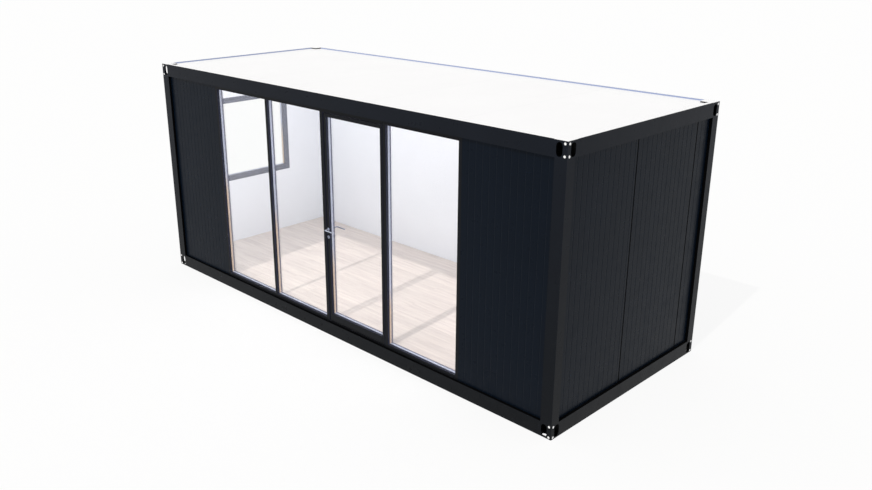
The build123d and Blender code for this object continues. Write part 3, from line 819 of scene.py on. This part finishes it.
def glaze():
    """Every glass unit, placed by its CAD solids."""
    fixed = [((low.x, high.x), (low.z, high.z)) for low, high in solids_of("fixed_glass")]
    glass_unit("fixed_lites", "fixed_glass", fixed, on_front, "cabin")
    low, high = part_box("door_glass")
    glass_unit("door_lite", "door_glass", [((low.x, high.x), (low.z, high.z))], on_front, "door")
    low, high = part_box("window_glass")
    glass_unit("window_lite", "window_glass", [((low.y, high.y), (low.z, high.z))], on_left_end, "cabin")


def lay_floor():
    """Staggered oak boards on the deck, from wall to wall."""
    deck_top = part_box("floor_deck")[1].z
    low_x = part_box("left_wall_middle")[1].x + wall_clearance
    high_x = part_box("right_wall")[0].x - wall_clearance
    low_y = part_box("front_panel_left")[1].y + wall_clearance
    high_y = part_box("back_wall")[0].y - wall_clearance
    mesh = bmesh.new()
    tone = mesh.faces.layers.float.new("board")
    row = 0
    start_y = low_y
    while start_y < high_y:
        end_y = min(start_y + board_width, high_y)
        start_x = low_x - board_length * ((row * board_row_shift) % 1.0)
        column = 0
        while start_x < high_x:
            ends = (max(start_x, low_x), min(start_x + board_length, high_x))
            if ends[1] - ends[0] > shortest_board:
                # A fixed pattern of eleven tones, in which no two neighbours match
                own_tone = (row * 7 + column * 3) % 11 / 10
                add_board(mesh, tone, ends, (start_y, end_y), deck_top, own_tone)
            start_x += board_length
            column += 1
        start_y += board_width
        row += 1
    finished("oak_floor_boards", mesh, oak_board, "cabin")


def add_board(mesh, tone, x_span, y_span, level, value):
    """One board with eased top edges."""
    gap = board_joint / 2
    outer = [(x_span[0] + gap, y_span[0] + gap), (x_span[1] - gap, y_span[0] + gap),
             (x_span[1] - gap, y_span[1] - gap), (x_span[0] + gap, y_span[1] - gap)]
    middle = ((x_span[0] + x_span[1]) / 2, (y_span[0] + y_span[1]) / 2)
    inner = [(x - math.copysign(board_edge, x - middle[0]), y - math.copysign(board_edge, y - middle[1]))
             for x, y in outer]
    outlines = ((outer, 0.0), (outer, board_thickness - board_edge), (inner, board_thickness))
    rings = [[mesh.verts.new((x, y, level + height)) for x, y in outline] for outline, height in outlines]
    faces = [mesh.faces.new(rings[0][::-1]), mesh.faces.new(rings[2])]
    for lower, upper in zip(rings, rings[1:]):
        for index in range(4):
            after = (index + 1) % 4
            faces.append(mesh.faces.new((lower[index], lower[after], upper[after], upper[index])))
    for face in faces:
        face[tone] = value


def add_turned(mesh, outline, centre, axis):
    """A turned form: outline is (radius, height) from the rim to the middle, height along axis."""
    turn = Vector((0, 0, 1)).rotation_difference(Vector(axis)).to_matrix()
    rings = []
    for radius, height in outline:
        ring = []
        for step in range(bolt_segments):
            angle = math.tau * step / bolt_segments
            point = Vector((radius * math.cos(angle), radius * math.sin(angle), height))
            ring.append(mesh.verts.new(Vector(centre) + turn @ point))
        rings.append(ring)
    for lower, upper in zip(rings, rings[1:]):
        for step in range(bolt_segments):
            after = (step + 1) % bolt_segments
            mesh.faces.new((lower[step], lower[after], upper[after], upper[step]))
    mesh.faces.new(rings[-1])


def fit_casting_bolts():
    """Round bolt heads beside the slots of every corner casting, on the long and the end faces."""
    mesh = bmesh.new()
    head = [(bolt_radius, -bolt_foot)]
    head += [(bolt_radius * out, bolt_height * up) for out, up in bolt_dome]
    for corner in ("front_left", "front_right", "back_left", "back_right"):
        for low, high in solids_of(f"corner_castings_{corner}"):
            side_x = 1 if "right" in corner else -1
            side_y = 1 if "back" in corner else -1
            edge_x = high.x if side_x > 0 else low.x
            edge_y = high.y if side_y > 0 else low.y
            middle = low.z + bolt_middle
            for rise in (-bolt_rise, bolt_rise):
                on_long = (edge_x - side_x * bolt_from_edge_long, edge_y, middle + rise)
                add_turned(mesh, head, on_long, (0, side_y, 0))
                on_end = (edge_x, edge_y - side_y * bolt_from_edge_end, middle + rise)
                add_turned(mesh, head, on_end, (side_x, 0, 0))
    finished("casting_bolts", mesh, bolt_coat, "cabin")


def fit_painted_shade_strips():
    """Black strips of seal rubber that paint the shade along the walls' foot on the floor rails' ledges and
    on the posts' returns.
    """
    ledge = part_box("floor_rail_front")[1].z
    wall_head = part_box("roof_rail_front")[0].z
    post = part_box("corner_post_front_right")
    post_x, post_y = post[0].x, -post[1].y
    rail_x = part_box("floor_rail_right")[1].x - shade_strip_from_edge
    rail_y = -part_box("floor_rail_front")[0].y - shade_strip_from_edge
    strip_top = ledge + shade_strip_thickness
    strips = []
    for side in (-1, 1):
        y_low, y_high = sorted((side * rail_y, side * wall_outside_y))
        strips.append(((-post_x, y_low, ledge), (post_x, y_high, strip_top)))
        x_low, x_high = sorted((side * rail_x, side * wall_outside_x))
        strips.append(((x_low, -post_y, ledge), (x_high, post_y, strip_top)))
    for side_x in (-1, 1):
        for side_y in (-1, 1):
            x_low, x_high = sorted((side_x * (post_x - shade_strip_thickness), side_x * post_x))
            y_low, y_high = sorted((side_y * rail_y, side_y * wall_outside_y))
            strips.append(((x_low, y_low, strip_top), (x_high, y_high, wall_head)))
            x_low, x_high = sorted((side_x * rail_x, side_x * wall_outside_x))
            y_low, y_high = sorted((side_y * (post_y - shade_strip_thickness), side_y * post_y))
            strips.append(((x_low, y_low, strip_top), (x_high, y_high, wall_head)))
    mesh = bmesh.new()
    for low, high in strips:
        add_block(mesh, low, high)
    bmesh.ops.bevel(mesh, geom=mesh.edges[:], offset=shade_strip_eased_edge, segments=1, affect="EDGES")
    # The strips are painted shade: black where the ledges and returns lie in shade
    finished("wall_shade_strips", mesh, seal_rubber, "cabin")


finish_cad_nodes()
glaze()
lay_floor()
fit_casting_bolts()
fit_painted_shade_strips()


def add_floor():
    """A pale floor that shows white and keeps the cabin's shadow."""
    mesh = bmesh.new()
    bmesh.ops.create_grid(mesh, x_segments=1, y_segments=1, size=studio_floor_size)
    data = bpy.data.meshes.new("studio_floor")
    mesh.to_mesh(data)
    mesh.free()
    floor = bpy.data.objects.new("studio_floor", data)
    bpy.context.scene.collection.objects.link(floor)
    floor.location.z = cad_low[2] - studio_floor_drop
    floor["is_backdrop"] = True
    made = bpy.data.materials.new("studio floor")
    made.use_nodes = True
    tree = made.node_tree
    tree.nodes.clear()
    matt = node(tree, "ShaderNodeBsdfDiffuse", {"Color": studio_floor_grey})
    glow = node(tree, "ShaderNodeEmission", {"Color": white, "Strength": 1.0})
    share = math_node(tree, "MULTIPLY", seen_ray(tree), studio_white_share)
    blend = node(tree, "ShaderNodeMixShader", {0: share, 1: matt.outputs[0], 2: glow.outputs[0]})
    node(tree, "ShaderNodeOutputMaterial", {"Surface": blend.outputs[0]})
    data.materials.append(made)


def light_world():
    """A plain white surround, white where it is seen and softer where it lights."""
    world = bpy.data.worlds.new("studio")
    bpy.context.scene.world = world
    world.use_nodes = True
    tree = world.node_tree
    tree.nodes.clear()
    level = math_node(tree, "MULTIPLY_ADD", seen_ray(tree), 1.0 - sky_level, sky_level)
    shown = node(tree, "ShaderNodeBackground", {"Color": white, "Strength": level})
    node(tree, "ShaderNodeOutputWorld", {"Surface": shown.outputs[0]})


def add_lamp(name, kind, place, direction, **settings):
    """A lamp that shines along a direction."""
    lamp = bpy.data.lights.new(name, kind)
    for key, value in settings.items():
        setattr(lamp, key, value)
    shown = bpy.data.objects.new(name, lamp)
    shown.location = place
    shown.rotation_euler = direction.to_track_quat("-Z", "Y").to_euler()
    bpy.context.scene.collection.objects.link(shown)
    return shown


def add_room_lamp(name, place, direction, power, size):
    """A wide soft lamp in the room that shows neither to the camera nor in metal and glass."""
    lamp = add_lamp(name, "AREA", place, Vector(direction), energy=power, shape="RECTANGLE",
                    size=size[0], size_y=size[1], color=room_lamp_colour)
    lamp.visible_camera = False
    lamp.visible_glossy = False
    lamp.visible_transmission = False


def light_scene():
    """A sun from the front, and three soft lamps in the room."""
    add_lamp("sun", "SUN", sun_place, sun_direction, energy=sun_strength, angle=sun_angle, color=sun_colour)
    under_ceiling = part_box("ceiling")[0].z - lamp_under_ceiling
    behind_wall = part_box("front_panel_left")[1].y + lamp_behind_wall
    middle = (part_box("floor_deck")[1].z + under_ceiling) / 2
    add_room_lamp("ceiling_lamp", (lamp_middle_x, 0, under_ceiling), (0, 0, -1),
                  ceiling_lamp_power, (lamp_length, ceiling_lamp_width))
    add_room_lamp("front_lamp", (lamp_middle_x, behind_wall, middle), (0, 1, 0),
                  front_lamp_power, (lamp_length, front_lamp_height))
    add_room_lamp("side_lamp", (side_lamp_x, 0, middle), (-1, 0, 0), side_lamp_power, side_lamp_size)


def add_camera():
    """The camera, at the photograph's viewing angle."""
    view = bpy.data.cameras.new("camera")
    view.lens = camera_lens
    view.sensor_width = camera_sensor
    view.sensor_fit = "HORIZONTAL"
    view.shift_x, view.shift_y = camera_shift
    view.clip_end = camera_reach
    shown = bpy.data.objects.new("camera", view)
    turn = Matrix((camera_right, -camera_down, -camera_forward)).transposed()
    shown.matrix_world = Matrix.Translation(camera_place) @ turn.to_4x4()
    bpy.context.scene.collection.objects.link(shown)
    bpy.context.scene.camera = shown


add_floor()
light_world()
light_scene()
add_camera()
bpy.context.scene.view_settings.view_transform = "Standard"
